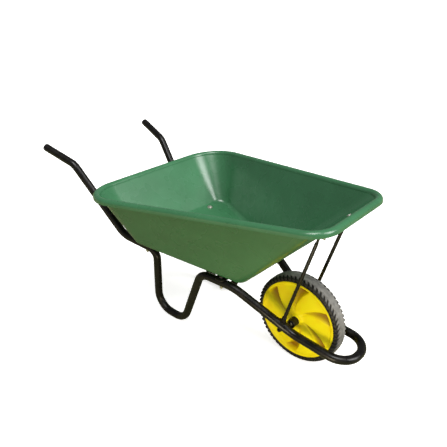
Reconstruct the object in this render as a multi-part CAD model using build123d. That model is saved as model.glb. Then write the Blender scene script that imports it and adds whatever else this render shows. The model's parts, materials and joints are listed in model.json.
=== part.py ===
from build123d import *
import math
import os

# Frame: +X towards the wheel, +Y to the operator's left, +Z up, ground at Z = 0.

# Side tubes and nose loop
TUBE_OD = 32.0
TUBE_WALL = 2.0
HANDLE_END_X = -700.6
HANDLE_HEIGHT = 644.0
HANDLE_SPREAD = 548.0
KNEE_X = -548.0
KNEE_HEIGHT = 596.0
KNEE_SPREAD = 490.0
DROP_X = -316.0
DROP_SPREAD = 388.0
LEG_TOP_X = -150.0
LEG_TOP_SPREAD = 326.0
LEG_BACK_X = -168.0
LEG_FRONT_X = -12.0
LEG_SPREAD = 306.0
BEARER_REAR_X = 86.0
BEARER_FRONT_X = 244.0
BEARER_REAR_SPREAD = 300.0
BEARER_FRONT_SPREAD = 282.0
BEARER_HEIGHT = 281.0
DROP_BEARER_HEIGHT = 303.0
NECK_SPREAD = 158.0
NECK_AHEAD_OF_AXLE = 20.0
NECK_BELOW_AXLE = 24.0
NOSE_SPREAD = 158.0
NOSE_BELOW_NECK = 20.0
NOSE_AHEAD_OF_TYRE = 68.0
NOSE_RADIUS = 74.0
KNEE_BEND = 60.0
DROP_BEND = 90.0
LEG_TOP_BEND = 45.0
LEG_FOOT_BEND = 70.0
BEARER_REAR_BEND = 55.0
BEARER_FRONT_BEND = 110.0
NOSE_DROP_BEND = 110.0
PLUG_LIP = 4.0
PLUG_ROUND = 2.8
PLUG_STEP = 0.3
PLUG_DEPTH = 25.0
PLUG_WALL = 2.5
PLUG_FLOOR = 2.0
SEAT_GAP = 0.05

# Wheel and axle
WHEEL_DIA = 350.0
WHEEL_REAR_X = 275.0
TYRE_WIDTH = 64.0
TYRE_SEAT_DIA = 296.0
TYRE_TREAD_DEPTH = 6.0
TYRE_BEAD_RISE = 4.0
TYRE_BEAD_STEP = 2.5
TYRE_SHOULDER_DROP = 13.0
TYRE_SHOULDER_INSET = 3.0
TYRE_CROWN_DROP = 5.0
TYRE_CROWN_INSET = 9.0
TREAD_COUNT = 54
TREAD_SLOT = 3.5
HUB_LIP_DIA = 306.0
HUB_LIP_THICKNESS = 3.9
HUB_WIDTH = 60.0
HUB_RIM_WALL = 6.0
HUB_RIM_DISH = 10.0
HUB_RIM_FLARE = 4.0
HUB_WEB = 5.0
HUB_WEB_ROOT = 16.0
HUB_BOSS_DIA = 46.0
HUB_BOSS_FLARE = 4.0
HUB_BOSS_LENGTH = 70.0
SPOKE_COUNT = 6
SPOKE_BOSS_STEP = 10.0
SPOKE_MID_STEP = 12.0
SPOKE_RIM_STEP = 4.0
SPOKE_OVERLAP = 1.0
SPOKE_THICKNESS = 5.0
SPOKE_SWEEP = 62.0
BUSH_DIA = 26.0
BUSH_LENGTH = 24.0
BUSH_LIP = 3.0
BUSH_LIP_DIA = 34.0
AXLE_DIA = 14.0
AXLE_LENGTH = 132.0
RUN_CLEAR = 0.06

# Axle brackets
BOSS_DIA = 33.0
BOSS_LENGTH = 25.0
BOSS_ROUND = 1.5
AXLE_PROUD = 2.0
AXLE_CHAMFER = 1.0
SADDLE_WALL = 3.0
SADDLE_BACK = 20.0
SADDLE_FRONT = 18.0
SADDLE_PAD = 4.0
SADDLE_PAD_DIA = 24.0
WING_BACK = 10.0
WING_FRONT = 25.0
WING_REACH = 41.0
SADDLE_BEHIND_AXLE = 22.0
JOINT_BEHIND_SADDLE = 24.0
SPIGOT_LENGTH = 40.0
SPIGOT_WALL = 2.0

# Tray
TRAY_WALL = 4.0
RIM_REAR_X = -332.0
RIM_FRONT_X = 619.0
RIM_REAR_WIDTH = 775.0
RIM_FRONT_WIDTH = 395.0
RIM_REAR_HEIGHT = 553.0
RIM_FRONT_HEIGHT = 642.0
RIM_REAR_CORNER = 134.0
RIM_FRONT_CORNER = 84.0
RIM_ROLL_DIA = 28.0
RIM_SKIRT = 7.0
FLOOR_FILLET = 22.0
FLOOR_INSET = 2.0
PAD_DIA = 34.0
PAD_PROUD = 1.0
FLOOR_REAR_X = -188.0
FLOOR_FRONT_X = 267.0
FLOOR_REAR_WIDTH = 548.0
FLOOR_FRONT_WIDTH = 264.0
FLOOR_REAR_HEIGHT = 378.0
FLOOR_FRONT_HEIGHT = 300.0
FLOOR_REAR_CORNER = 48.0
FLOOR_FRONT_CORNER = 40.0

# Braces and fasteners
BRACE_WIDTH = 44.0
REAR_TRAY_BOLT_SHIFT = 10.0
BRACE_GAUGE = 5.0
REAR_BRACE_X = -186.0
FRONT_BRACE_X = 186.0
BOLT_DIA = 8.0
BOLT_CLEAR = 0.5
HEAD_DIA = 19.0
HEAD_HEIGHT = 4.5
WASHER_DIA = 24.0
WASHER_THICKNESS = 1.6
NUT_SIZE = 13.0
NUT_HEIGHT = 6.5
BOLT_TAIL = 6.0
BOLT_CHAMFER = 0.8
HEAD_ROUND = 3.6
HEAD_OVERLAP = 0.5

# Stays
STAY_DIA = 13.0
STAY_FLAT = 5.0
STAY_FLAT_WIDTH = 20.0
STAY_FLAT_LENGTH = 36.0
STAY_SWAGE = 26.0
SWAGE_SIDE_STEP = 0.5
SWAGE_SKIN_STEP = 0.1
SWAGE_ROUND = 1.5
STAY_ROUND = 6.0
STAY_LAP = 2.0
STAY_TAB_HEIGHT = 585.0
STAY_TOP_SPREAD = 176.0
STUD_DIA = 10.0
STUD_TAIL = 7.0
STUD_NUT_SIZE = 17.0
STUD_NUT_HEIGHT = 8.0
STAY_COLLAR_DIA = 17.0
STAY_COLLAR = 12.0
STAY_COLLAR_ROUND = 1.5


def bent_path(points, radii):
    # straight runs joined by tangent arcs
    pts = [Vector(*p) for p in points]
    edges = []
    start = pts[0]
    for before, corner, after, radius in zip(pts, pts[1:], pts[2:], radii):
        to_before = (before - corner).normalized()
        to_after = (after - corner).normalized()
        half = math.acos(max(-1.0, min(1.0, to_before.dot(to_after)))) / 2
        reach = radius / math.tan(half)
        arc_start = corner + to_before * reach
        arc_end = corner + to_after * reach
        bisector = (to_before + to_after).normalized()
        arc_mid = corner + bisector * (radius / math.sin(half) - radius)
        edges.append(Line(start, arc_start))
        edges.append(ThreePointArc(arc_start, arc_mid, arc_end))
        start = arc_end
    edges.append(Line(start, pts[-1]))
    return Wire(edges)


def closed_loop(points, radii):
    # closed outline with a rounded corner at every point
    pts = [Vector(*p) for p in points]
    first_mid = (pts[-1] + pts[0]) * 0.5
    run = [first_mid] + pts + [first_mid]
    return bent_path(run, radii)


def ring_sweep(path, outer_radius, inner_radius):
    start = Plane(path @ 0, z_dir=path % 0)
    profile = start * (Circle(outer_radius) - Circle(inner_radius))
    return sweep(profile, path=path).solid()


def mirrored(shape):
    return mirror(shape, about=Plane.XZ)


def write(node, shapes):
    shapes = list(shapes)
    if len(shapes) == 1:
        item = shapes[0]
    else:
        item = Compound(children=shapes)
    item.label = node
    export_step(item, os.path.join("parts", node + ".step"))
    print(node, len(shapes), round(sum(part.volume for part in shapes)))


# Derived lines of the frame

TUBE_R = TUBE_OD / 2
FLOOR_SLOPE = (FLOOR_FRONT_HEIGHT - FLOOR_REAR_HEIGHT) / (FLOOR_FRONT_X - FLOOR_REAR_X)
FLOOR_TILT = math.degrees(math.atan(FLOOR_SLOPE))
RIM_SLOPE = (RIM_FRONT_HEIGHT - RIM_REAR_HEIGHT) / (RIM_FRONT_X - RIM_REAR_X)
AXLE_Z = WHEEL_DIA / 2
AXLE_X = WHEEL_REAR_X + WHEEL_DIA / 2
NECK_X = AXLE_X + NECK_AHEAD_OF_AXLE
NECK_HEIGHT = AXLE_Z - NECK_BELOW_AXLE
NOSE_TIP_X = AXLE_X + WHEEL_DIA / 2 + NOSE_AHEAD_OF_TYRE
NOSE_HEIGHT = NECK_HEIGHT - NOSE_BELOW_NECK
SADDLE_BOLT_X = AXLE_X - SADDLE_BEHIND_AXLE
JOINT_X = SADDLE_BOLT_X - JOINT_BEHIND_SADDLE
PAD_RAISE = PAD_PROUD - FLOOR_SLOPE * WASHER_DIA / 2


def drop_height(x):
    return DROP_BEARER_HEIGHT + FLOOR_SLOPE * (x - REAR_BRACE_X)


def floor_height(x):
    return FLOOR_REAR_HEIGHT + FLOOR_SLOPE * (x - FLOOR_REAR_X)


def rim_height(x):
    return RIM_REAR_HEIGHT + RIM_SLOPE * (x - RIM_REAR_X)


def between(x, x0, y0, x1, y1):
    return y0 + (y1 - y0) * (x - x0) / (x1 - x0)


BEARER_FRONT = Vector(BEARER_FRONT_X, BEARER_FRONT_SPREAD / 2, BEARER_HEIGHT)
NECK = Vector(NECK_X, NECK_SPREAD / 2, NECK_HEIGHT)
NECK_DIR = (NECK - BEARER_FRONT).normalized()


def on_neck(x):
    return BEARER_FRONT + NECK_DIR * ((x - BEARER_FRONT_X) / NECK_DIR.X)


NECK_UP = (Vector(0, 0, 1) - NECK_DIR * NECK_DIR.Z).normalized()
SADDLE_BOLT = on_neck(SADDLE_BOLT_X)
JOINT = on_neck(JOINT_X)
SADDLE_FRAME = Plane(SADDLE_BOLT, x_dir=NECK_DIR, z_dir=NECK_UP)
REAR_BRACE_FRAME = Plane(
    (REAR_BRACE_X, 0, DROP_BEARER_HEIGHT),
    x_dir=(math.cos(math.radians(FLOOR_TILT)), 0, math.sin(math.radians(FLOOR_TILT))),
    z_dir=(-math.sin(math.radians(FLOOR_TILT)), 0, math.cos(math.radians(FLOOR_TILT))),
)
FRONT_BRACE_FRAME = Plane((FRONT_BRACE_X, 0, BEARER_HEIGHT))


# Side tubes, each bent from one length

def side_path(end_point):
    points = [
        (HANDLE_END_X, HANDLE_SPREAD / 2, HANDLE_HEIGHT),
        (KNEE_X, KNEE_SPREAD / 2, KNEE_HEIGHT),
        (DROP_X, DROP_SPREAD / 2, drop_height(DROP_X)),
        (LEG_TOP_X, LEG_TOP_SPREAD / 2, drop_height(LEG_TOP_X)),
        (LEG_BACK_X, LEG_SPREAD / 2, TUBE_R),
        (LEG_FRONT_X, LEG_SPREAD / 2, TUBE_R),
        (BEARER_REAR_X, BEARER_REAR_SPREAD / 2, BEARER_HEIGHT),
        tuple(BEARER_FRONT),
        tuple(end_point),
    ]
    radii = [
        KNEE_BEND,
        DROP_BEND,
        LEG_TOP_BEND,
        LEG_FOOT_BEND,
        LEG_FOOT_BEND,
        BEARER_REAR_BEND,
        BEARER_FRONT_BEND,
    ]
    return bent_path(points, radii)


def stay_tab_frame():
    wall = front_wall_frame(STAY_TAB_HEIGHT)
    return Plane(
        wall.from_local_coords((0, -STAY_TOP_SPREAD / 2, SEAT_GAP)),
        x_dir=wall.x_dir,
        z_dir=wall.z_dir,
    )


def stay_top():
    lap = STAY_LAP - STAY_FLAT_LENGTH / 2
    return stay_tab_frame().from_local_coords((lap, 0, STAY_FLAT / 2))


def stud_frame():
    # the rod runs straight from its tab on the tray to the middle of the tube
    run = (stay_top() - SADDLE_BOLT).normalized()
    return Plane(SADDLE_BOLT, x_dir=(run.Z, 0, -run.X), z_dir=run)


def stud_hole(length):
    return stud_frame() * Cylinder(STUD_DIA / 2 + BOLT_CLEAR, length)


def side_tube():
    bore = TUBE_R - TUBE_WALL
    spigot_r = bore - SEAT_GAP
    body = ring_sweep(side_path(JOINT), TUBE_R, bore)
    joint_plane = Plane(JOINT, z_dir=NECK_DIR)
    collar = joint_plane * Pos(0, 0, -SPIGOT_WALL / 2) * (
        Cylinder(TUBE_R - SEAT_GAP, SPIGOT_WALL) - Cylinder(spigot_r - SPIGOT_WALL, SPIGOT_WALL)
    )
    spigot = joint_plane * Pos(0, 0, SPIGOT_LENGTH / 2 - SPIGOT_WALL / 2) * (
        Cylinder(spigot_r, SPIGOT_LENGTH + SPIGOT_WALL)
        - Cylinder(spigot_r - SPIGOT_WALL, SPIGOT_LENGTH + SPIGOT_WALL)
    )
    tube = body + collar + spigot
    tube = tube - stud_hole(4 * TUBE_OD)
    tube = tube - rear_brace_hole(4 * TUBE_OD)
    tube = tube - front_brace_hole(4 * TUBE_OD)
    return tube.solid()


def rear_brace_bolt_spot():
    x = REAR_BRACE_X - BRACE_WIDTH / 5
    y = between(x, DROP_X, DROP_SPREAD / 2, LEG_TOP_X, LEG_TOP_SPREAD / 2)
    return -BRACE_WIDTH / 5, y


def rear_brace_hole(length):
    x, y = rear_brace_bolt_spot()
    return REAR_BRACE_FRAME * Pos(x, y, 0) * Cylinder(BOLT_DIA / 2 + BOLT_CLEAR, length)


def front_brace_bolt_y():
    return between(
        FRONT_BRACE_X,
        BEARER_REAR_X,
        BEARER_REAR_SPREAD / 2,
        BEARER_FRONT_X,
        BEARER_FRONT_SPREAD / 2,
    )


def front_brace_hole(length):
    spot = Pos(0, front_brace_bolt_y(), 0)
    return FRONT_BRACE_FRAME * spot * Cylinder(BOLT_DIA / 2 + BOLT_CLEAR, length)


def nose_loop():
    start = JOINT + NECK_DIR * SEAT_GAP
    nose_left = (NOSE_TIP_X, NOSE_SPREAD / 2, NOSE_HEIGHT)
    nose_right = (NOSE_TIP_X, -NOSE_SPREAD / 2, NOSE_HEIGHT)
    points = [
        tuple(start),
        tuple(NECK),
        nose_left,
        nose_right,
        (NECK.X, -NECK.Y, NECK.Z),
        (start.X, -start.Y, start.Z),
    ]
    radii = [NOSE_DROP_BEND, NOSE_RADIUS, NOSE_RADIUS, NOSE_DROP_BEND]
    tube = ring_sweep(bent_path(points, radii), TUBE_R, TUBE_R - TUBE_WALL)
    hole = stud_hole(4 * TUBE_OD)
    return (tube - hole - mirrored(hole)).solid()


def handle_plug():
    path = side_path(JOINT)
    end_plane = Plane(path @ 0, z_dir=(path % 0) * -1)
    lip = Pos(0, 0, SEAT_GAP + PLUG_LIP / 2) * Cylinder(TUBE_R - PLUG_STEP, PLUG_LIP)
    lip = fillet(lip.edges().group_by(Axis.Z)[-1], PLUG_ROUND)
    plug_r = TUBE_R - TUBE_WALL - SEAT_GAP
    stem = Pos(0, 0, -PLUG_DEPTH / 2) * Cylinder(plug_r, PLUG_DEPTH + 2 * SEAT_GAP)
    hollow = Pos(0, 0, -PLUG_DEPTH / 2 - PLUG_FLOOR) * Cylinder(plug_r - PLUG_WALL, PLUG_DEPTH)
    return (end_plane * (lip + stem - hollow)).solid()


# Fasteners: heads sit at Z = 0 of their own frame and shanks run down

def shank(length):
    rod = Cylinder(
        BOLT_DIA / 2, length + HEAD_OVERLAP, align=(Align.CENTER, Align.CENTER, Align.MAX)
    )
    rod = chamfer(rod.edges().group_by(Axis.Z)[0], BOLT_CHAMFER)
    return Pos(0, 0, HEAD_OVERLAP) * rod


def dome_bolt(length):
    head = Cylinder(HEAD_DIA / 2, HEAD_HEIGHT, align=(Align.CENTER, Align.CENTER, Align.MIN))
    head = fillet(head.edges().group_by(Axis.Z)[-1], HEAD_ROUND)
    return (head + shank(length)).solid()


def hex_bolt(length):
    head = extrude(RegularPolygon(NUT_SIZE / math.sqrt(3), 6), amount=HEAD_HEIGHT)
    return (head + shank(length)).solid()


def hex_nut(size=NUT_SIZE, height=NUT_HEIGHT, thread=BOLT_DIA):
    hexagon = RegularPolygon(size / math.sqrt(3), 6)
    nut = extrude(hexagon - Circle(thread / 2 + SEAT_GAP), amount=-height)
    return nut.solid()


def washer():
    ring = Circle(WASHER_DIA / 2) - Circle(BOLT_DIA / 2 + BOLT_CLEAR / 2)
    return extrude(ring, amount=WASHER_THICKNESS).solid()


# Cross braces

def rear_brace_depth():
    # from the top of the tubes to the underside of the tray floor, square to both
    drop = floor_height(REAR_BRACE_X) - DROP_BEARER_HEIGHT
    return drop * math.cos(math.radians(FLOOR_TILT)) - TRAY_WALL - TUBE_R


def rear_cross_brace():
    depth = rear_brace_depth()
    spot_x, spot_y = rear_brace_bolt_spot()
    half = spot_y + BRACE_WIDTH * 0.65
    foot = spot_y - BRACE_WIDTH * 0.5
    low = TUBE_R + SEAT_GAP
    high = TUBE_R + depth - SEAT_GAP
    outer = Pos(0, (low + high) / 2) * RectangleRounded(2 * half, high - low, 3 * BRACE_GAUGE)
    inner = Pos(0, (low + high) / 2) * RectangleRounded(
        2 * (half - BRACE_GAUGE), high - low - 2 * BRACE_GAUGE, 2 * BRACE_GAUGE
    )
    mouth = Pos(0, low) * Rectangle(2 * foot, 3 * BRACE_GAUGE)
    section = outer - inner - mouth
    blank = Plane(
        REAR_BRACE_FRAME.origin, x_dir=(0, 1, 0), z_dir=REAR_BRACE_FRAME.x_dir
    ) * section
    bar = extrude(blank, amount=BRACE_WIDTH / 2, both=True)
    for side in (1, -1):
        hole = Cylinder(BOLT_DIA / 2 + BOLT_CLEAR, 3 * BRACE_GAUGE)
        bar = bar - REAR_BRACE_FRAME * Pos(spot_x, side * spot_y, low) * hole
        bar = bar - REAR_BRACE_FRAME * Pos(REAR_TRAY_BOLT_SHIFT, side * spot_y, high) * hole
    return bar.solid()


def front_brace_top():
    return TUBE_R + SEAT_GAP + BRACE_GAUGE


def front_tray_bolt_y():
    return front_brace_bolt_y() * 0.66


def front_cross_brace():
    half = front_brace_bolt_y() + BRACE_WIDTH / 2
    low = TUBE_R + SEAT_GAP
    bar = Pos(0, 0, low + BRACE_GAUGE / 2) * Box(BRACE_WIDTH, 2 * half, BRACE_GAUGE)
    bar = fillet(bar.edges().filter_by(Axis.Z), BRACE_WIDTH * 0.4)
    for side in (1, -1):
        for y in (front_brace_bolt_y(), front_tray_bolt_y()):
            bar = bar - Pos(0, side * y, low) * Cylinder(BOLT_DIA / 2 + BOLT_CLEAR, 3 * BRACE_GAUGE)
    return (FRONT_BRACE_FRAME * bar).solid()


# Tray

def tilted_plane(height_at_origin, slope):
    return Plane((0, 0, height_at_origin), x_dir=(1, 0, slope), z_dir=(-slope, 0, 1))


def trapezoid_points(rear_x, front_x, rear_width, front_width, inset, stretch):
    half_angle = math.atan((rear_width - front_width) / 2 / (front_x - rear_x))
    side_inset = inset / math.cos(half_angle)
    x0 = rear_x + inset
    x1 = front_x - inset
    y0 = between(x0, rear_x, rear_width / 2, front_x, front_width / 2) - side_inset
    y1 = between(x1, rear_x, rear_width / 2, front_x, front_width / 2) - side_inset
    return [(x0 * stretch, -y0), (x1 * stretch, -y1), (x1 * stretch, y1), (x0 * stretch, y0)]


def trapezoid_loop(plane, slope, rear_x, front_x, rear_width, front_width, radii, inset):
    stretch = math.sqrt(1 + slope * slope)
    corners = trapezoid_points(rear_x, front_x, rear_width, front_width, inset, stretch)
    rear_r = radii[0] - inset
    front_r = radii[1] - inset
    flat = closed_loop(corners, [rear_r, front_r, front_r, rear_r])
    return plane * flat


def rim_plane():
    return tilted_plane(rim_height(0), RIM_SLOPE)


def floor_plane(raise_by):
    shift = raise_by * math.sqrt(1 + FLOOR_SLOPE * FLOOR_SLOPE)
    return tilted_plane(floor_height(0) + shift, FLOOR_SLOPE)


def rim_loop(inset):
    return trapezoid_loop(
        rim_plane(),
        RIM_SLOPE,
        RIM_REAR_X,
        RIM_FRONT_X,
        RIM_REAR_WIDTH,
        RIM_FRONT_WIDTH,
        (RIM_REAR_CORNER, RIM_FRONT_CORNER),
        inset,
    )


def floor_loop(raise_by, inset):
    return trapezoid_loop(
        floor_plane(raise_by),
        FLOOR_SLOPE,
        FLOOR_REAR_X,
        FLOOR_FRONT_X,
        FLOOR_REAR_WIDTH,
        FLOOR_FRONT_WIDTH,
        (FLOOR_REAR_CORNER, FLOOR_FRONT_CORNER),
        inset,
    )


def basin(raise_by, floor_inset, rim_inset):
    low = make_face(floor_loop(raise_by, floor_inset))
    high = make_face(rim_loop(rim_inset))
    return loft([low, high], ruled=True)


def tray_roll():
    path = rim_loop(0)
    outward = Vector(-1, 0, -RIM_SLOPE)
    start = Plane(path @ 0, x_dir=outward, z_dir=path % 0)
    radius = RIM_ROLL_DIA / 2
    ring = Circle(radius) - Circle(radius - TRAY_WALL)
    crest = ring & (Pos(0, -radius) * Rectangle(2 * RIM_ROLL_DIA, 2 * radius))
    skirt = Pos(radius - TRAY_WALL / 2, RIM_SKIRT / 2) * Rectangle(TRAY_WALL, RIM_SKIRT)
    return sweep(start * (crest + skirt), path=path)


def foot_edges(shape, raise_by):
    level = raise_by * math.sqrt(1 + FLOOR_SLOPE * FLOOR_SLOPE)
    return [
        edge
        for edge in shape.edges()
        if all(abs(v.Z - floor_height(v.X) - level) < 0.5 for v in edge.vertices())
    ]


def front_wall_frame(height):
    low_x = FLOOR_FRONT_X
    low_z = floor_height(low_x) - TRAY_WALL * math.sqrt(1 + FLOOR_SLOPE * FLOOR_SLOPE)
    high_x = RIM_FRONT_X - RIM_ROLL_DIA / 2 + TRAY_WALL
    high_z = rim_height(high_x)
    rise = Vector(high_x - low_x, 0, high_z - low_z).normalized()
    x = between(height, low_z, low_x, high_z, high_x)
    outward = Vector(rise.Z, 0, -rise.X)
    return Plane((x, 0, height), x_dir=rise, z_dir=outward)


def front_wall_thickness(height):
    # the moulding thins towards the rim
    frame = front_wall_frame(height)
    low_x = FLOOR_FRONT_X - FLOOR_INSET
    low = Vector(low_x, 0, floor_height(low_x))
    high_x = RIM_FRONT_X - RIM_ROLL_DIA / 2
    high = Vector(high_x, 0, rim_height(high_x))
    low_gap = (frame.origin - low).dot(frame.z_dir)
    high_gap = (frame.origin - high).dot(frame.z_dir)
    return between(height, low.Z, low_gap, high.Z, high_gap)


def tray():
    roll_r = RIM_ROLL_DIA / 2
    outside = basin(-TRAY_WALL, 0, roll_r - TRAY_WALL)
    outside = fillet(foot_edges(outside, -TRAY_WALL), FLOOR_FILLET)
    inside = basin(0, FLOOR_INSET, roll_r)
    inside = fillet(foot_edges(inside, 0), FLOOR_FILLET - TRAY_WALL)
    body = outside - inside + tray_roll()
    pad_low = BEARER_HEIGHT + front_brace_top() + SEAT_GAP
    pad_high = floor_height(FRONT_BRACE_X) + PAD_RAISE
    for side in (1, -1):
        pad = Pos(FRONT_BRACE_X, side * front_tray_bolt_y(), (pad_low + pad_high) / 2)
        body = body + pad * Cylinder(PAD_DIA / 2, pad_high - pad_low)
    hole = Cylinder(BOLT_DIA / 2 + BOLT_CLEAR, 4 * HEAD_DIA)
    wall = front_wall_frame(STAY_TAB_HEIGHT)
    spot_y = rear_brace_bolt_spot()[1]
    for side in (1, -1):
        body = body - Pos(FRONT_BRACE_X, side * front_tray_bolt_y(), pad_low) * hole
        body = body - REAR_BRACE_FRAME * Pos(REAR_TRAY_BOLT_SHIFT, side * spot_y, floor_gap()) * hole
        body = body - wall * Pos(0, side * STAY_TOP_SPREAD / 2, 0) * hole
    return body.solid()


def floor_gap():
    return TUBE_R + rear_brace_depth()


# Wheel, drawn as half sections across the wheel and turned about its own Z, then laid on Y

def wheel_place():
    return Pos(AXLE_X, 0, AXLE_Z) * Rot(90, 0, 0)


def turned(outline):
    face = make_face(Polyline(*outline, close=True))
    return revolve(Plane.XZ * face, axis=Axis.Z).solid()


def both_sides(points):
    return points + [(r, -z) for r, z in reversed(points)]


def hub_shell():
    seat = TYRE_SEAT_DIA / 2
    lip = HUB_LIP_DIA / 2
    half = HUB_WIDTH / 2
    rim_inner = seat - HUB_RIM_WALL
    boss = HUB_BOSS_DIA / 2
    bore = BUSH_DIA / 2
    outline = both_sides([
        (bore, HUB_BOSS_LENGTH / 2),
        (boss, HUB_BOSS_LENGTH / 2),
        (boss + HUB_BOSS_FLARE, HUB_WEB_ROOT / 2),
        (rim_inner - HUB_RIM_DISH, HUB_WEB / 2),
        (rim_inner - HUB_RIM_FLARE, half - HUB_RIM_FLARE),
        (rim_inner, half),
        (lip, half),
        (lip, half - HUB_LIP_THICKNESS),
        (seat, half - HUB_LIP_THICKNESS),
    ])
    return turned(outline)


def spoke_blank():
    inner = Vector(HUB_BOSS_DIA / 2 - SPOKE_OVERLAP, 0)
    angle = math.radians(SPOKE_SWEEP)
    reach = TYRE_SEAT_DIA / 2 - HUB_RIM_WALL - SPOKE_OVERLAP
    outer = Vector(reach * math.cos(angle), reach * math.sin(angle))
    curve = TangentArc(inner, outer, tangent=(1, 0))
    return trace(curve, SPOKE_THICKNESS)


def hub_spokes():
    rim_inner = TYRE_SEAT_DIA / 2 - HUB_RIM_WALL
    boss = HUB_BOSS_DIA / 2
    envelope = turned(both_sides([
        (boss - HUB_BOSS_FLARE, HUB_BOSS_LENGTH / 2 - SPOKE_BOSS_STEP),
        (boss + HUB_BOSS_FLARE, HUB_BOSS_LENGTH / 2 - SPOKE_BOSS_STEP),
        ((boss + rim_inner) / 2, HUB_WIDTH / 2 - SPOKE_MID_STEP),
        (rim_inner + SPOKE_OVERLAP, HUB_WIDTH / 2 - SPOKE_RIM_STEP),
    ]))
    blank = extrude(spoke_blank(), amount=HUB_WIDTH, both=True)
    one = blank & envelope
    return [Rot(0, 0, 360 * i / SPOKE_COUNT) * one for i in range(SPOKE_COUNT)]


def wheel_hub():
    body = hub_shell()
    for spoke in hub_spokes():
        body = body + spoke
    bore = Cylinder(BUSH_DIA / 2, 2 * HUB_WIDTH)
    return (wheel_place() * (body - bore)).solid()


def wheel_bush():
    outer = BUSH_DIA / 2 - SEAT_GAP
    bore = AXLE_DIA / 2 + RUN_CLEAR
    face = HUB_BOSS_LENGTH / 2
    outline = [
        (bore, face - BUSH_LENGTH),
        (outer, face - BUSH_LENGTH),
        (outer, face + SEAT_GAP),
        (BUSH_LIP_DIA / 2, face + SEAT_GAP),
        (BUSH_LIP_DIA / 2, face + BUSH_LIP),
        (bore, face + BUSH_LIP),
    ]
    return (wheel_place() * turned(outline)).solid()


def tyre():
    seat = TYRE_SEAT_DIA / 2 + SEAT_GAP
    lip = HUB_LIP_DIA / 2
    crown = WHEEL_DIA / 2
    half = TYRE_WIDTH / 2
    rest = HUB_WIDTH / 2 - HUB_LIP_THICKNESS - SEAT_GAP
    outline = both_sides([
        (seat, rest),
        (lip + SEAT_GAP, rest),
        (lip + SEAT_GAP, half - TYRE_BEAD_STEP),
        (lip + TYRE_BEAD_RISE, half),
        (crown - TYRE_SHOULDER_DROP, half),
        (crown - TYRE_CROWN_DROP, half - TYRE_SHOULDER_INSET),
        (crown, half - TYRE_CROWN_INSET),
    ])
    body = turned(outline)
    slot_root = crown - TYRE_TREAD_DEPTH
    slot = Pos(crown, 0) * Rectangle(2 * TYRE_TREAD_DEPTH, TREAD_SLOT)
    ring = Sketch() + [Rot(0, 0, 360 * i / TREAD_COUNT) * slot for i in range(TREAD_COUNT)]
    cut = extrude(ring, amount=half)
    shoulder = half * 0.5
    offset = Rot(0, 0, 180 / TREAD_COUNT)
    body = body - Pos(0, 0, shoulder) * cut
    body = body - offset * Pos(0, 0, -shoulder) * mirror(cut, about=Plane.XY)
    groove = Cylinder(crown + TREAD_SLOT, TREAD_SLOT) - Cylinder(slot_root, TREAD_SLOT)
    for side in (1, -1):
        body = body - Pos(0, 0, side * shoulder) * groove
    return (wheel_place() * body).solid()


def axle():
    rod = Cylinder(AXLE_DIA / 2, AXLE_LENGTH)
    rod = chamfer(rod.edges().filter_by(GeomType.CIRCLE), AXLE_CHAMFER)
    return (wheel_place() * rod).solid()


# Axle bracket: saddle over the tube, flat wing and boss for the axle end

def axle_bracket():
    bore = TUBE_R + SEAT_GAP
    shell_r = TUBE_R + SADDLE_WALL
    length = SADDLE_BACK + SADDLE_FRONT
    mid = (SADDLE_FRONT - SADDLE_BACK) / 2
    along = Pos(mid, 0, 0) * Rot(0, 90, 0)
    top_half = Pos(mid, 0, shell_r / 2) * Box(length, 2 * shell_r, shell_r)
    shell = along * Cylinder(shell_r, length) & top_half
    pad = stud_frame() * Cylinder(
        SADDLE_PAD_DIA / 2, pad_height(), align=(Align.CENTER, Align.CENTER, Align.MIN)
    )
    wing = Pos((WING_FRONT + WING_BACK) / 2, -WING_REACH / 2, shell_r - SADDLE_WALL / 2)
    wing = wing * Box(WING_FRONT - WING_BACK, WING_REACH, SADDLE_WALL)
    body = SADDLE_FRAME * (shell + wing) + pad
    boss_end = AXLE_LENGTH / 2 - AXLE_PROUD
    boss_start = boss_end - BOSS_LENGTH
    boss = Cylinder(BOSS_DIA / 2, BOSS_LENGTH)
    boss = fillet(boss.edges().filter_by(GeomType.CIRCLE), BOSS_ROUND)
    turn = Pos(AXLE_X, (boss_start + boss_end) / 2, AXLE_Z) * Rot(90, 0, 0)
    body = body + turn * boss
    body = body - turn * Cylinder(AXLE_DIA / 2 + SEAT_GAP, 4 * BOSS_LENGTH)
    body = body - SADDLE_FRAME * along * Cylinder(bore, 4 * length)
    body = body - stud_hole(4 * TUBE_OD)
    return body.solid()


def pad_height():
    return TUBE_R + SADDLE_WALL + SADDLE_PAD


def stud_nut_top():
    return pad_height() + 2 * SEAT_GAP + STUD_NUT_HEIGHT


def low_nut_height():
    # the lower nut sits square to the rod, so its rim meets the sloping tube first
    lean = math.acos(stud_frame().z_dir.dot(NECK_UP))
    return -TUBE_R / math.cos(lean) - STUD_NUT_SIZE / math.sqrt(3) * math.tan(lean)


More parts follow.
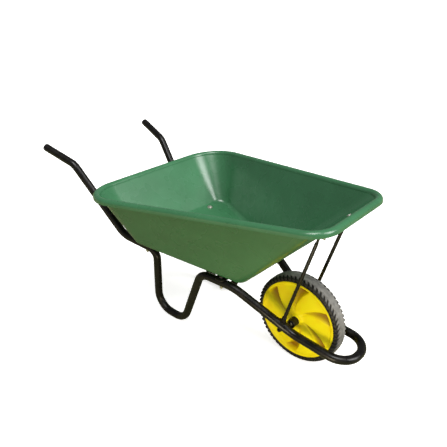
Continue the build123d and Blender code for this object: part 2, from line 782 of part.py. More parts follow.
def stay():
    tab_frame = stay_tab_frame()
    top = stay_top()
    line = stud_frame()
    upward = (Align.CENTER, Align.CENTER, Align.MIN)
    tab = Pos(0, 0, STAY_FLAT / 2) * Box(STAY_FLAT_LENGTH, STAY_FLAT_WIDTH, STAY_FLAT)
    tab = tab_frame * fillet(tab.edges().filter_by(Axis.Z), STAY_ROUND)
    low = low_nut_height() - SEAT_GAP - STUD_NUT_HEIGHT - STUD_TAIL
    base = stud_nut_top()
    stud = Pos(0, 0, low) * Cylinder(STUD_DIA / 2, base - low + STAY_COLLAR / 2, align=upward)
    stud = chamfer(stud.edges().group_by(Axis.Z)[0], BOLT_CHAMFER)
    collar = Pos(0, 0, base) * Cylinder(STAY_COLLAR_DIA / 2, STAY_COLLAR, align=upward)
    collar = fillet(collar.edges().filter_by(GeomType.CIRCLE), STAY_COLLAR_ROUND)
    reach = (top - SADDLE_BOLT).length - STAY_SWAGE
    rod_low = base + STAY_COLLAR / 2
    rod = Pos(0, 0, rod_low) * Cylinder(STAY_DIA / 2, reach - rod_low, align=upward)
    swage_start = SADDLE_BOLT + line.z_dir * reach
    round_end = Plane(swage_start, x_dir=(0, 1, 0), z_dir=line.z_dir) * Circle(STAY_DIA / 2)
    flat_end = Plane(top, x_dir=(0, 1, 0), z_dir=tab_frame.x_dir) * RectangleRounded(
        STAY_FLAT_WIDTH - 2 * SWAGE_SIDE_STEP, STAY_FLAT - 2 * SWAGE_SKIN_STEP, SWAGE_ROUND
    )
    swage = loft([round_end.face(), flat_end.face()])
    body = line * (stud + collar + rod) + swage + tab
    hole = Cylinder(BOLT_DIA / 2 + BOLT_CLEAR, 4 * STAY_FLAT)
    return (body - tab_frame * hole).solid()


# Fastener sets

def both(shape):
    return [shape, mirrored(shape)]


def through(frame, spot, top, bottom, bolt_maker):
    # bolt with its head above the stack and a nut below it
    x, y = spot
    bolt = frame * Pos(x, y, top + SEAT_GAP) * bolt_maker(top - bottom + NUT_HEIGHT + BOLT_TAIL)
    nut = frame * Pos(x, y, bottom - SEAT_GAP) * hex_nut()
    return bolt.solid(), nut.solid()


def write_all():
    os.makedirs("parts", exist_ok=True)
    tube = side_tube()
    plug = handle_plug()
    write("side_tube_left", [tube])
    write("side_tube_right", [mirrored(tube)])
    write("nose_loop", [nose_loop()])
    write("handle_plug_left", [plug])
    write("handle_plug_right", [mirrored(plug)])
    write("tray", [tray()])
    write("rear_cross_brace", [rear_cross_brace()])
    write("front_cross_brace", [front_cross_brace()])
    bracket = axle_bracket()
    write("axle_bracket_left", [bracket])
    write("axle_bracket_right", [mirrored(bracket)])
    rod = stay()
    write("stay_left", [rod])
    write("stay_right", [mirrored(rod)])
    write("axle", [axle()])
    write("wheel_hub", [wheel_hub()])
    bush = wheel_bush()
    write("wheel_bush_right", [bush])
    write("wheel_bush_left", [mirrored(bush)])
    write("tyre", [tyre()])

    spot_x, spot_y = rear_brace_bolt_spot()
    foot_top = TUBE_R + SEAT_GAP + BRACE_GAUGE
    brace_bolt, brace_nut = through(
        REAR_BRACE_FRAME, (spot_x, spot_y), foot_top, -TUBE_R, hex_bolt
    )
    write("rear_brace_bolts", both(brace_bolt))
    write("rear_brace_nuts", both(brace_nut))

    floor_top = floor_gap() + TRAY_WALL
    tray_spot = (REAR_TRAY_BOLT_SHIFT, spot_y)
    flange_low = floor_gap() - SEAT_GAP - BRACE_GAUGE
    tray_bolt, tray_nut = through(
        REAR_BRACE_FRAME,
        tray_spot,
        floor_top + SEAT_GAP + WASHER_THICKNESS,
        flange_low,
        dome_bolt,
    )
    rear_washer = REAR_BRACE_FRAME * Pos(*tray_spot, floor_top + SEAT_GAP) * washer()

    pad_top = floor_height(FRONT_BRACE_X) + PAD_RAISE - BEARER_HEIGHT
    front_spot = (0, front_tray_bolt_y())
    front_bolt, front_nut = through(
        FRONT_BRACE_FRAME,
        front_spot,
        pad_top + SEAT_GAP + WASHER_THICKNESS,
        TUBE_R + SEAT_GAP,
        dome_bolt,
    )
    front_washer = FRONT_BRACE_FRAME * Pos(*front_spot, pad_top + SEAT_GAP) * washer()
    write("rear_tray_bolts", both(tray_bolt))
    write("rear_tray_nuts", both(tray_nut))
    write("front_tray_bolts", both(front_bolt))
    write("front_tray_nuts", both(front_nut))

    front_brace_bolt, front_brace_nut = through(
        FRONT_BRACE_FRAME, (0, front_brace_bolt_y()), front_brace_top(), -TUBE_R, hex_bolt
    )
    write("front_brace_bolts", both(front_brace_bolt))
    write("front_brace_nuts", both(front_brace_nut))

    stud_nut = hex_nut(STUD_NUT_SIZE, STUD_NUT_HEIGHT, STUD_DIA)
    upper_nut = stud_frame() * Pos(0, 0, pad_height() + SEAT_GAP + STUD_NUT_HEIGHT) * stud_nut
    lower_nut = stud_frame() * Pos(0, 0, low_nut_height() - SEAT_GAP) * stud_nut
    write("bracket_nuts", both(upper_nut) + both(lower_nut))

    wall = front_wall_frame(STAY_TAB_HEIGHT)
    inward = Plane(wall.origin, x_dir=wall.x_dir, z_dir=wall.z_dir * -1)
    wall_depth = front_wall_thickness(STAY_TAB_HEIGHT) + 2 * SEAT_GAP
    stay_spot = (0, -STAY_TOP_SPREAD / 2)
    stay_bolt, stay_nut = through(
        inward,
        stay_spot,
        wall_depth + SEAT_GAP + WASHER_THICKNESS,
        -SEAT_GAP - STAY_FLAT,
        dome_bolt,
    )
    stay_washer = inward * Pos(*stay_spot, wall_depth + SEAT_GAP) * washer()
    write("stay_bolts", both(stay_bolt))
    write("stay_nuts", both(stay_nut))
    write("tray_washers", both(rear_washer) + both(front_washer) + both(stay_washer))


write_all()
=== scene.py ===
import json
import math

import bpy
from mathutils import Matrix, Vector

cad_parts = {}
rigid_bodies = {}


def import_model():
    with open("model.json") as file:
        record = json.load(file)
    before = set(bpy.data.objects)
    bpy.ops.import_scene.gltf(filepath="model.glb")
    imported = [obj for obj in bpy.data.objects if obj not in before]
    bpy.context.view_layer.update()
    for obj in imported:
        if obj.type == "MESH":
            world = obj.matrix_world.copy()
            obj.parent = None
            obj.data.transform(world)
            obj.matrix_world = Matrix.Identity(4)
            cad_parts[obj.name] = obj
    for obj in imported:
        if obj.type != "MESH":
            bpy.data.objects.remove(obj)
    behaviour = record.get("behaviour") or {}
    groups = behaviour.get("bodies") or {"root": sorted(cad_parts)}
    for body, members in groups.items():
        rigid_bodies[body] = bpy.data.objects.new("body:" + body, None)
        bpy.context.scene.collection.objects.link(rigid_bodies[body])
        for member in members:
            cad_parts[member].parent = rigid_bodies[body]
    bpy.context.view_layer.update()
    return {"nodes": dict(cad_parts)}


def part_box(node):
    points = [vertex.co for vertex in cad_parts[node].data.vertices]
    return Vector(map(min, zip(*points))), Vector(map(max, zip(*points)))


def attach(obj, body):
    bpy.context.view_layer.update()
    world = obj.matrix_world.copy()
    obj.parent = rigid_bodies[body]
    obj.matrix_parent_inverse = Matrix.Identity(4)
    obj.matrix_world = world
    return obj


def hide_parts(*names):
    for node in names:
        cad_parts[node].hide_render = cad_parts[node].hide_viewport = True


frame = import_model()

objects = bpy.data.objects
axleLow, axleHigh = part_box("axle")
wheelCentre = (axleLow + axleHigh) / 2


def linear(hexColour):
    # sRGB hex to the linear colour that shaders take
    parts = [int(hexColour[i:i + 2], 16) / 255 for i in (1, 3, 5)]
    parts = [p / 12.92 if p <= 0.04045 else ((p + 0.055) / 1.055) ** 2.4 for p in parts]
    return (*parts, 1.0)


def setStops(elements, stops):
    while len(elements) < len(stops):
        elements.new(0.5)
    for element, (position, colour) in zip(elements, stops):
        element.position = position
        element.color = linear(colour)


def spread(low, high, toLow, toHigh):
    # settings of a map range node
    return {"in:From Min": low, "in:From Max": high, "in:To Min": toLow, "in:To Max": toHigh}


def addNode(tree, kind, settings=None, links=None):
    # settings: plain names are node fields, "in:Name" or "in:3" are sockets, "stops" fills a ramp
    made = tree.nodes.new(kind)
    for key, value in (settings or {}).items():
        if key.startswith("in:"):
            socket = key[3:]
            made.inputs[int(socket) if socket.isdigit() else socket].default_value = value
        elif key == "stops":
            setStops(made.color_ramp.elements, value)
        else:
            setattr(made, key, value)
    for key, source in (links or {}).items():
        socket = made.inputs[int(key) if key.isdigit() else key]
        tree.links.new(source, socket)
    return made


def newMaterial(name, shaderSettings):
    material = bpy.data.materials.new(name)
    material.use_nodes = True
    tree = material.node_tree
    tree.nodes.clear()
    shader = addNode(tree, "ShaderNodeBsdfPrincipled", shaderSettings)
    addNode(tree, "ShaderNodeOutputMaterial", links={"Surface": shader.outputs["BSDF"]})
    place = addNode(tree, "ShaderNodeTexCoord").outputs["Object"]
    return material, tree, shader, place


def wire(tree, shader, colour, rough, bump=None):
    tree.links.new(colour, shader.inputs["Base Color"])
    tree.links.new(rough, shader.inputs["Roughness"])
    if bump:
        tree.links.new(bump.outputs["Normal"], shader.inputs["Normal"])


print("materials")

greenTray = {
    "moulded": "#39724c", "lightPatch": "#3d7751", "darkPatch": "#356c47",
    "roughness": 0.27, "glossSpread": (-0.02, 0.03), "specular": 0.7,
    "skinMm": 3.5, "skinStrength": 0.012, "sinkMm": 120.0, "scuffsPerMetre": 12.0,
}


def greenPolyethylene():
    # moulded polyethylene: waxy half gloss, a faint cloudy mottle and a barely felt grain
    material, tree, shader, place = newMaterial("green moulded polyethylene", {
        "in:IOR": 1.5, "in:Specular IOR Level": greenTray["specular"],
    })
    clouds = addNode(tree, "ShaderNodeTexNoise", {
        "in:Scale": 1000 / greenTray["sinkMm"], "in:Detail": 4.0, "in:Roughness": 0.6,
    }, {"Vector": place})
    colour = addNode(tree, "ShaderNodeValToRGB", {
        "stops": [
            (0.30, greenTray["darkPatch"]), (0.52, greenTray["moulded"]), (0.75, greenTray["lightPatch"]),
        ],
    }, {"Fac": clouds.outputs["Fac"]}).outputs["Color"]
    skin = addNode(tree, "ShaderNodeTexNoise", {
        "in:Scale": 1000 / greenTray["skinMm"], "in:Detail": 1.0,
    }, {"Vector": place})
    scuffs = addNode(tree, "ShaderNodeTexNoise", {
        "in:Scale": greenTray["scuffsPerMetre"], "in:Detail": 2.0,
    }, {"Vector": place})
    glossier, duller = greenTray["glossSpread"]
    rough = addNode(tree, "ShaderNodeMapRange", spread(
        0.2, 0.8, greenTray["roughness"] + glossier, greenTray["roughness"] + duller,
    ), {"Value": scuffs.outputs["Fac"]}).outputs["Result"]
    bump = addNode(tree, "ShaderNodeBump", {
        "in:Strength": greenTray["skinStrength"], "in:Distance": 0.0003,
    }, {"Height": skin.outputs["Fac"]})
    wire(tree, shader, colour, rough, bump)
    return material


blackFrame = {
    "enamel": "#0a0908", "worn": "#181412", "roughness": 0.2, "dustyRoughness": 0.42, "specular": 0.32,
    "dustPerMetre": 26.0, "orangePeelMm": 5.0,
}


def blackEnamel():
    # stoved enamel on steel tube: deep black gloss with a slight orange peel and thin dust
    material, tree, shader, place = newMaterial("black stoved enamel", {
        "in:IOR": 1.5, "in:Specular IOR Level": blackFrame["specular"],
    })
    dust = addNode(tree, "ShaderNodeTexNoise", {
        "in:Scale": blackFrame["dustPerMetre"], "in:Detail": 8.0,
    }, {"Vector": place})
    colour = addNode(tree, "ShaderNodeValToRGB", {
        "stops": [(0.45, blackFrame["enamel"]), (0.78, blackFrame["worn"])],
    }, {"Fac": dust.outputs["Fac"]}).outputs["Color"]
    rough = addNode(tree, "ShaderNodeMapRange", spread(
        0.35, 0.75, blackFrame["roughness"], blackFrame["dustyRoughness"],
    ), {"Value": dust.outputs["Fac"]}).outputs["Result"]
    peel = addNode(tree, "ShaderNodeTexNoise", {
        "in:Scale": 1000 / blackFrame["orangePeelMm"], "in:Detail": 1.0,
    }, {"Vector": place})
    bump = addNode(tree, "ShaderNodeBump", {"in:Strength": 0.12, "in:Distance": 0.0003}, {
        "Height": peel.outputs["Fac"],
    })
    wire(tree, shader, colour, rough, bump)
    return material


# the hub's darkest colour is painted shade for the bottom of the scoops, brought in over the depths listed
# after it
yellowHub = {
    "moulded": "#fff000", "deep": "#fce400", "hollow": "#8a5c00", "roughness": 0.42, "duller": 0.12,
    "flowMm": 60.0, "finePerMetre": 320.0, "hollowFrom": 0.023, "hollowTo": 0.006, "hollowShare": 0.9,
}


def yellowPolypropylene():
    # moulded polypropylene: bright satin gloss, slightly deeper in the flow marks
    material, tree, shader, place = newMaterial("yellow moulded polypropylene", {
        "in:IOR": 1.49, "in:Specular IOR Level": 0.35,
        "in:Subsurface Weight": 0.06, "in:Subsurface Radius": (0.006, 0.004, 0.001),
        "in:Subsurface Scale": 0.5,
    })
    flow = addNode(tree, "ShaderNodeTexNoise", {
        "in:Scale": 1000 / yellowHub["flowMm"], "in:Detail": 3.0,
    }, {"Vector": place})
    colour = addNode(tree, "ShaderNodeValToRGB", {
        "stops": [(0.35, yellowHub["deep"]), (0.6, yellowHub["moulded"])],
    }, {"Fac": flow.outputs["Fac"]}).outputs["Color"]
    # painted shade: the moulding turns amber-brown towards the bottom of each scoop, darker than the lamps
    # alone make it
    split = addNode(tree, "ShaderNodeSeparateXYZ", links={"Vector": place})
    across = addNode(tree, "ShaderNodeMath", {"operation": "ABSOLUTE"}, {"0": split.outputs["Y"]})
    sunk = addNode(tree, "ShaderNodeMapRange", spread(
        yellowHub["hollowFrom"], yellowHub["hollowTo"], 0.0, yellowHub["hollowShare"],
    ), {"Value": across.outputs["Value"]}).outputs["Result"]
    hollowShaded = addNode(tree, "ShaderNodeMix", {"data_type": "RGBA", "in:7": linear(yellowHub["hollow"])}, {
        "0": sunk, "6": colour,
    })
    fine = addNode(tree, "ShaderNodeTexNoise", {
        "in:Scale": yellowHub["finePerMetre"], "in:Detail": 2.0,
    }, {"Vector": place})
    rough = addNode(tree, "ShaderNodeMapRange", spread(
        0.3, 0.7, yellowHub["roughness"], yellowHub["roughness"] + yellowHub["duller"],
    ), {"Value": flow.outputs["Fac"]}).outputs["Result"]
    bump = addNode(tree, "ShaderNodeBump", {"in:Strength": 0.08, "in:Distance": 0.0003}, {
        "Height": fine.outputs["Fac"],
    })
    wire(tree, shader, hollowShaded.outputs[2], rough, bump)
    return material


tyreRubber = {
    # the pale grey is dust on the crown together with a painted sheen
    "rubber": "#141313", "dustAndSheen": "#96938d", "roughness": 0.66, "shine": 0.1, "duller": 0.15,
    "grainMm": 1.6, "smearsPerMetre": 55.0, "dustAndSheenFrom": 0.170, "crown": 0.1745, "dustAndSheenShare": 0.85,
}


def solidRubber():
    # vulcanised solid rubber: dull near-black, grey towards the crown where the tread runs, partly dust and
    # partly a painted sheen
    material, tree, shader, place = newMaterial("black vulcanised rubber", {"in:IOR": 1.52})
    fromAxle = addNode(tree, "ShaderNodeVectorMath", {
        "operation": "SUBTRACT", "in:1": tuple(wheelCentre),
    }, {"0": place})
    flat = addNode(tree, "ShaderNodeVectorMath", {"operation": "MULTIPLY", "in:1": (1.0, 0.0, 1.0)}, {
        "0": fromAxle.outputs["Vector"],
    })
    radius = addNode(tree, "ShaderNodeVectorMath", {"operation": "LENGTH"}, {"0": flat.outputs["Vector"]})
    # grey towards the crown all round: partly dust, partly painted sheen standing in for light on the tread
    worn = addNode(tree, "ShaderNodeMapRange", spread(
        tyreRubber["dustAndSheenFrom"], tyreRubber["crown"], 0.0, tyreRubber["dustAndSheenShare"],
    ), {"Value": radius.outputs["Value"]}).outputs["Result"]
    grain = addNode(tree, "ShaderNodeTexNoise", {
        "in:Scale": 1000 / tyreRubber["grainMm"], "in:Detail": 4.0,
    }, {"Vector": place})
    smear = addNode(tree, "ShaderNodeTexNoise", {
        "in:Scale": tyreRubber["smearsPerMetre"], "in:Detail": 6.0,
    }, {"Vector": place})
    patches = addNode(tree, "ShaderNodeMapRange", spread(0.3, 0.7, 0.45, 1.0), {
        "Value": smear.outputs["Fac"],
    })
    mixed = addNode(tree, "ShaderNodeMath", {"operation": "MULTIPLY"}, {
        "0": worn, "1": patches.outputs["Result"],
    })
    colour = addNode(tree, "ShaderNodeValToRGB", {
        "stops": [(0.0, tyreRubber["rubber"]), (1.0, tyreRubber["dustAndSheen"])],
    }, {"Fac": mixed.outputs["Value"]}).outputs["Color"]
    rough = addNode(tree, "ShaderNodeMapRange", spread(
        0.0, 1.0, tyreRubber["roughness"] - tyreRubber["shine"],
        tyreRubber["roughness"] + tyreRubber["duller"],
    ), {"Value": mixed.outputs["Value"]}).outputs["Result"]
    bump = addNode(tree, "ShaderNodeBump", {"in:Strength": 0.3, "in:Distance": 0.0003}, {
        "Height": grain.outputs["Fac"],
    })
    wire(tree, shader, colour, rough, bump)
    return material


zincPlate = {"zinc": "#dedcd4", "dull": "#bab7ad", "roughness": 0.42, "dullest": 0.5, "filmPerMetre": 240.0}


def zincPlatedSteel():
    # bright zinc plate on fasteners: silvery with a cloudy passivated film
    material, tree, shader, place = newMaterial("zinc plated steel", {"in:Metallic": 1.0})
    film = addNode(tree, "ShaderNodeTexNoise", {
        "in:Scale": zincPlate["filmPerMetre"], "in:Detail": 4.0,
    }, {"Vector": place})
    colour = addNode(tree, "ShaderNodeValToRGB", {
        "stops": [(0.35, zincPlate["dull"]), (0.65, zincPlate["zinc"])],
    }, {"Fac": film.outputs["Fac"]}).outputs["Color"]
    rough = addNode(tree, "ShaderNodeMapRange", spread(
        0.3, 0.7, zincPlate["roughness"], zincPlate["dullest"],
    ), {"Value": film.outputs["Fac"]}).outputs["Result"]
    wire(tree, shader, colour, rough)
    return material


drawnBar = {
    "steel": "#d8d2bd", "stain": "#a89f86", "roughness": 0.3, "dullest": 0.45,
    "stainsPerMetre": 160.0, "markMm": 0.8,
}


def drawnSteel():
    # cold drawn axle bar with a sawn end: pale stained metal with fine tool marks
    material, tree, shader, place = newMaterial("cold drawn steel bar", {"in:Metallic": 1.0})
    stain = addNode(tree, "ShaderNodeTexNoise", {
        "in:Scale": drawnBar["stainsPerMetre"], "in:Detail": 5.0,
    }, {"Vector": place})
    colour = addNode(tree, "ShaderNodeValToRGB", {
        "stops": [(0.3, drawnBar["stain"]), (0.6, drawnBar["steel"])],
    }, {"Fac": stain.outputs["Fac"]}).outputs["Color"]
    marks = addNode(tree, "ShaderNodeTexNoise", {
        "in:Scale": 1000 / drawnBar["markMm"], "in:Detail": 2.0,
    }, {"Vector": place})
    bump = addNode(tree, "ShaderNodeBump", {"in:Strength": 0.2, "in:Distance": 0.0002}, {
        "Height": marks.outputs["Fac"],
    })
    rough = addNode(tree, "ShaderNodeMapRange", spread(
        0.3, 0.7, drawnBar["roughness"], drawnBar["dullest"],
    ), {"Value": stain.outputs["Fac"]}).outputs["Result"]
    wire(tree, shader, colour, rough, bump)
    return material


nylonParts = {
    "nylon": "#191817", "pores": "#131211", "roughness": 0.48, "dullest": 0.6, "grainPerMetre": 700.0,
}


def blackNylon():
    # injection moulded nylon: even black with a soft spark-eroded grain
    material, tree, shader, place = newMaterial("black moulded nylon", {"in:IOR": 1.53})
    grain = addNode(tree, "ShaderNodeTexNoise", {
        "in:Scale": nylonParts["grainPerMetre"], "in:Detail": 2.0,
    }, {"Vector": place})
    colour = addNode(tree, "ShaderNodeValToRGB", {
        "stops": [(0.3, nylonParts["pores"]), (0.7, nylonParts["nylon"])],
    }, {"Fac": grain.outputs["Fac"]}).outputs["Color"]
    rough = addNode(tree, "ShaderNodeMapRange", spread(
        0.3, 0.7, nylonParts["roughness"], nylonParts["dullest"],
    ), {"Value": grain.outputs["Fac"]}).outputs["Result"]
    bump = addNode(tree, "ShaderNodeBump", {"in:Strength": 0.15, "in:Distance": 0.0002}, {
        "Height": grain.outputs["Fac"],
    })
    wire(tree, shader, colour, rough, bump)
    return material


darkNuts = {"film": "#26211d", "bare": "#3b342d", "roughness": 0.38, "dullest": 0.55, "filmPerMetre": 210.0}


def blackenedSteel():
    # oil-blackened nuts: dark brownish metal, a little bare at the corners
    material, tree, shader, place = newMaterial("oil blackened steel", {"in:Metallic": 0.8})
    film = addNode(tree, "ShaderNodeTexNoise", {
        "in:Scale": darkNuts["filmPerMetre"], "in:Detail": 5.0,
    }, {"Vector": place})
    colour = addNode(tree, "ShaderNodeValToRGB", {
        "stops": [(0.35, darkNuts["film"]), (0.7, darkNuts["bare"])],
    }, {"Fac": film.outputs["Fac"]}).outputs["Color"]
    rough = addNode(tree, "ShaderNodeMapRange", spread(
        0.3, 0.7, darkNuts["roughness"], darkNuts["dullest"],
    ), {"Value": film.outputs["Fac"]}).outputs["Result"]
    wire(tree, shader, colour, rough)
    return material


green = greenPolyethylene()
enamel = blackEnamel()
yellow = yellowPolypropylene()
rubber = solidRubber()
zinc = zincPlatedSteel()
barSteel = drawnSteel()
nylon = blackNylon()
blackened = blackenedSteel()

finishOf = {
    "tray": green,
    "side_tube_left": enamel, "side_tube_right": enamel, "nose_loop": enamel,
    "rear_cross_brace": enamel, "front_cross_brace": enamel,
    "axle_bracket_left": enamel, "axle_bracket_right": enamel,
    "stay_left": enamel, "stay_right": enamel,
    "handle_plug_left": nylon, "handle_plug_right": nylon,
    "wheel_bush_left": nylon, "wheel_bush_right": nylon,
    "wheel_hub": yellow, "tyre": rubber, "axle": barSteel, "bracket_nuts": blackened,
}
for name in frame["nodes"]:
    piece = objects[name]
    piece.data.materials.clear()
    piece.data.materials.append(finishOf.get(name, zinc))


def gridMesh(name, rows, material):
    # rows of points round a ring, the last joined to the first; every row has the same count
    count = len(rows[0])
    points = [point for row in rows for point in row]
    faces = []
    for i in range(len(rows)):
        above = (i + 1) % len(rows)
        for j in range(count):
            k = (j + 1) % count
            faces.append((i * count + j, i * count + k, above * count + k, above * count + j))
    mesh = bpy.data.meshes.new(name)
    mesh.from_pydata(points, [], faces)
    mesh.materials.append(material)
    mesh.update()
    piece = bpy.data.objects.new(name, mesh)
    bpy.context.scene.collection.objects.link(piece)
    return piece


def smoothByAngle(piece, degrees):
    mesh = piece.data
    mesh.shade_smooth()
    mesh.set_sharp_from_angle(angle=math.radians(degrees))


print("wheel")

wheel = {
    "scoops": 6, "firstScoopDeg": 30.0, "scoopRim": 0.025, "scoopStart": 0.026,
    "scoopDepth": 0.019, "scoopEnd": 0.1445, "fullWidthAt": 0.138,
    "scoopTip": 0.0025, "scoopFade": 0.009, "columns": 360, "sharpDeg": 40,
}


def onWheel(radius, angle, across):
    x, y, z = wheelCentre
    return (x + radius * math.cos(angle), y + across, z + radius * math.sin(angle))


# half section of the hub face: radius and distance from the mid plane
hubFace = [
    (0.0140, 0.0350), (0.0215, 0.0350), (0.0228, 0.0344), (0.0234, 0.0330), (0.0240, 0.0300),
    (0.0262, 0.0272), (0.0300, 0.0258), (0.0360, 0.0250), (0.0440, 0.0245), (0.0530, 0.0242),
    (0.0620, 0.0240), (0.0710, 0.0238), (0.0800, 0.0236), (0.0890, 0.0234), (0.0980, 0.0232),
    (0.1060, 0.0230), (0.1130, 0.0228), (0.1200, 0.0227), (0.1260, 0.0226), (0.1310, 0.0226),
    (0.1350, 0.0227), (0.1380, 0.0230), (0.1405, 0.0238), (0.1425, 0.0252), (0.1440, 0.0272),
    (0.1455, 0.0288), (0.1475, 0.0297), (0.1495, 0.0300), (0.1518, 0.0300), (0.1528, 0.0296),
    (0.1530, 0.0288), (0.1530, 0.0266),
]
hubSeat = [(0.1482, 0.0262), (0.1480, 0.0200)]


# how far each scoop is swept round, in degrees, at growing radius
scoopSweep = [(0.020, 30.0), (0.045, 20.0), (0.070, 11.0), (0.095, 4.0), (0.120, -2.0), (0.145, -8.0)]


def between(table, at):
    for (lowAt, low), (highAt, high) in zip(table, table[1:]):
        if at <= highAt:
            share = max(0.0, (at - lowAt) / (highAt - lowAt))
            return low + (high - low) * share
    return table[-1][1]


def hubDepth(radius, across, angle):
    start, rim = wheel["scoopStart"], wheel["scoopEnd"]
    if radius < start or radius > rim:
        return across
    grow = min(1.0, (radius - start) / (wheel["fullWidthAt"] - start))
    half = wheel["scoopTip"] + (wheel["scoopRim"] - wheel["scoopTip"]) * grow ** 1.3
    step = 2 * math.pi / wheel["scoops"]
    middle = math.radians(wheel["firstScoopDeg"] + between(scoopSweep, radius))
    turn = (angle - middle + step / 2) % step - step / 2
    side = abs(radius * math.sin(turn)) / half
    if side >= 1:
        return across
    fade = min(1.0, (rim - radius) / wheel["scoopFade"]) * min(1.0, grow * 6)
    return across - wheel["scoopDepth"] * fade * grow ** 0.6 * (1 - side * side) ** 0.75


def makeHub():
    count = wheel["columns"]
    angles = [2 * math.pi * j / count for j in range(count)]
    rows = []
    profile = [(r, y, True) for r, y in hubFace] + [(r, y, False) for r, y in hubSeat]
    for r, y, shaped in profile:
        rows.append([onWheel(r, a, hubDepth(r, y, a) if shaped else y) for a in angles])
    for r, y, shaped in reversed(profile):
        rows.append([onWheel(r, a, -(hubDepth(r, y, a) if shaped else y)) for a in angles])
    piece = gridMesh("hub_moulding", rows, yellow)
    smoothByAngle(piece, wheel["sharpDeg"])
    return piece


hub = makeHub()
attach(hub, "wheel")
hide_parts("wheel_hub")

tread = {
    "lugs": 60, "slotDepth": 0.0058, "slant": 0.006, "slotShare": 0.42,
    "slotSlope": 0.06, "sideRelief": 0.75, "sideDepth": 0.8,
    "sideFrom": 0.022, "sideRun": 0.010, "sharpDeg": 34,
}

# half section of the tyre; the last value says how deep a slot cuts there
tyreSection = [
    (0.1481, 0.0200, 0.0), (0.1481, 0.0257, 0.0), (0.1535, 0.0258, 0.0), (0.1542, 0.0284, 0.0),
    (0.1552, 0.0298, 0.0), (0.1566, 0.0304, 0.0), (0.1576, 0.0316, 0.3), (0.1590, 0.0320, 1.0),
    (0.1625, 0.0320, 1.0), (0.1650, 0.0316, 1.0), (0.1680, 0.0302, 1.0), (0.1708, 0.0278, 1.0),
    (0.1728, 0.0246, 1.0), (0.1740, 0.0210, 1.0), (0.1744, 0.0176, 0.9), (0.1745, 0.0164, 0.5),
    (0.1742, 0.0158, 0.0), (0.1742, 0.0144, 0.0), (0.1747, 0.0138, 0.0), (0.1749, 0.0100, 0.0),
    (0.1750, 0.0050, 0.0), (0.1750, 0.0012, 0.0),
]


def makeTyre():
    lugs = tread["lugs"]
    share = tread["slotShare"]
    near, far, slope = 0.5 - share / 2, 0.5 + share / 2, tread["slotSlope"]
    stops = [(0.0, 0.0), (near - slope, 0.0), (near, 1.0), (0.5, 1.0), (far, 1.0), (far + slope, 0.0)]
    pitch = 2 * math.pi / lugs
    rows = []
    for side in (1, -1):
        section = tyreSection if side == 1 else list(reversed(tyreSection))
        for r, y, slotted in section:
            row = []
            slant = tread["slant"] * (0.0245 - y) / 0.0075 / r if slotted else 0.0
            for lug in range(lugs):
                for where, cut in stops:
                    angle = (lug + where + (0.5 if side == -1 else 0.0)) * pitch + slant
                    depth = tread["slotDepth"] * cut * slotted
                    lean = min(1.0, max(0.0, (y - tread["sideFrom"]) / tread["sideRun"]))
                    inward = depth * (1 - tread["sideRelief"] * lean)
                    sunk = depth * tread["sideDepth"] * lean
                    row.append(onWheel(r - inward, angle, side * (y - sunk)))
            rows.append(row)
    piece = gridMesh("tyre_tread", rows, rubber)
    smoothByAngle(piece, tread["sharpDeg"])
    return piece


tyre = makeTyre()
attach(tyre, "wheel")
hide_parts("tyre")

print("light, floor and camera")

studio = {
    "floorSize": 90.0, "worldStrength": 0.22,
    "paper": "#f6f6f4", "paperShade": "#f1f1ef", "bounce": "#9c9a70", "paperGlow": 0.8,
    "keyFrom": (0.80, 0.20, 0.57), "keyStrength": 2.6, "keyAngle": 34.0,
    "overheadFrom": (0.22, -0.30, 0.90), "overheadStrength": 2.1, "overheadAngle": 30.0,
    "fillPlace": (0.35, -1.75, 0.22), "fillAim": (0.1, 0.0, 0.35), "fillPower": 3.5,
    "fillSize": (2.2, 0.5), "fillColour": "#ffedcc",
    "wheelPlace": (0.66, -0.62, 0.12), "wheelPower": 1.7, "wheelSize": (0.3, 0.2),
    "viewTransform": "Standard",
}
view = {
    "place": (1.2302, -1.3188, 1.3093), "azimuth": 41.37, "elevation": 26.51, "roll": 0.12, "lens": 40.27,
}


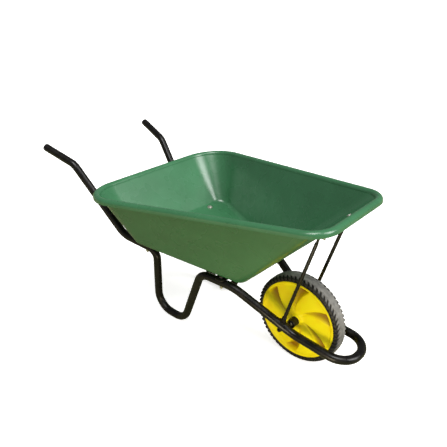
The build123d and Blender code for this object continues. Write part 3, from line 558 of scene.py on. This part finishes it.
def makeFloor():
    half = studio["floorSize"] / 2
    mesh = bpy.data.meshes.new("studio_floor")
    corners = [(-half, -half, 0), (half, -half, 0), (half, half, 0), (-half, half, 0)]
    mesh.from_pydata(corners, [], [(0, 1, 2, 3)])
    material, tree, shader, place = newMaterial("pale studio paper", {"in:Roughness": 0.9})
    fibre = addNode(tree, "ShaderNodeTexNoise", {"in:Scale": 3.0, "in:Detail": 2.0}, {"Vector": place})
    paper = addNode(tree, "ShaderNodeValToRGB", {
        "stops": [(0.3, studio["paperShade"]), (0.7, studio["paper"])],
    }, {"Fac": fibre.outputs["Fac"]}).outputs["Color"]
    # the paper is pale to look at and throws a warm bounce under the tray
    seen = addNode(tree, "ShaderNodeLightPath").outputs["Is Camera Ray"]
    mixed = addNode(tree, "ShaderNodeMix", {"data_type": "RGBA", "in:6": linear(studio["bounce"])}, {
        "0": seen, "7": paper,
    })
    tree.links.new(mixed.outputs[2], shader.inputs["Base Color"])
    # a little glow to the eye only, so that the shadow on the paper stays faint
    glow = addNode(tree, "ShaderNodeMath", {
        "operation": "MULTIPLY", "in:1": studio["paperGlow"],
    }, {"0": seen})
    tree.links.new(paper, shader.inputs["Emission Color"])
    tree.links.new(glow.outputs["Value"], shader.inputs["Emission Strength"])
    mesh.materials.append(material)
    floor = bpy.data.objects.new("studio_floor", mesh)
    bpy.context.scene.collection.objects.link(floor)


def addLight(name, kind, towards, strength):
    data = bpy.data.lights.new(name, kind)
    data.energy = strength
    lamp = bpy.data.objects.new(name, data)
    lamp.rotation_euler = Vector(towards).to_track_quat("-Z", "Y").to_euler()
    bpy.context.scene.collection.objects.link(lamp)
    return lamp


def makeLights():
    for name in ("key", "overhead"):
        lamp = addLight(name + "_light", "SUN", -Vector(studio[name + "From"]), studio[name + "Strength"])
        lamp.data.angle = math.radians(studio[name + "Angle"])
    for name, aim in (("fill", Vector(studio["fillAim"])), ("wheel", wheelCentre)):
        place = Vector(studio[name + "Place"])
        lamp = addLight(name + "_light", "AREA", aim - place, studio[name + "Power"])
        lamp.location = place
        lamp.data.shape = "RECTANGLE"
        lamp.data.size, lamp.data.size_y = studio[name + "Size"]
        lamp.data.color = linear(studio["fillColour"])[:3]
    world = bpy.data.worlds.new("studio_world")
    world.use_nodes = True
    sky = world.node_tree.nodes["Background"]
    sky.inputs["Color"].default_value = (1, 1, 1, 1)
    sky.inputs["Strength"].default_value = studio["worldStrength"]
    bpy.context.scene.world = world
    bpy.context.scene.view_settings.view_transform = studio["viewTransform"]


def makeCamera():
    a, e, roll = (math.radians(view[key]) for key in ("azimuth", "elevation", "roll"))
    back = Vector((math.sin(a) * math.cos(e), -math.cos(a) * math.cos(e), math.sin(e)))
    flatRight = Vector((math.cos(a), math.sin(a), 0))
    flatUp = back.cross(flatRight)
    right = flatRight * math.cos(roll) + flatUp * math.sin(roll)
    up = flatUp * math.cos(roll) - flatRight * math.sin(roll)
    data = bpy.data.cameras.new("camera")
    data.lens = view["lens"]
    data.sensor_width = 36.0
    camera = bpy.data.objects.new("camera", data)
    turn = Matrix((right, up, back)).transposed().to_4x4()
    camera.matrix_world = Matrix.Translation(view["place"]) @ turn
    bpy.context.scene.collection.objects.link(camera)
    bpy.context.scene.camera = camera


makeFloor()
makeLights()
makeCamera()
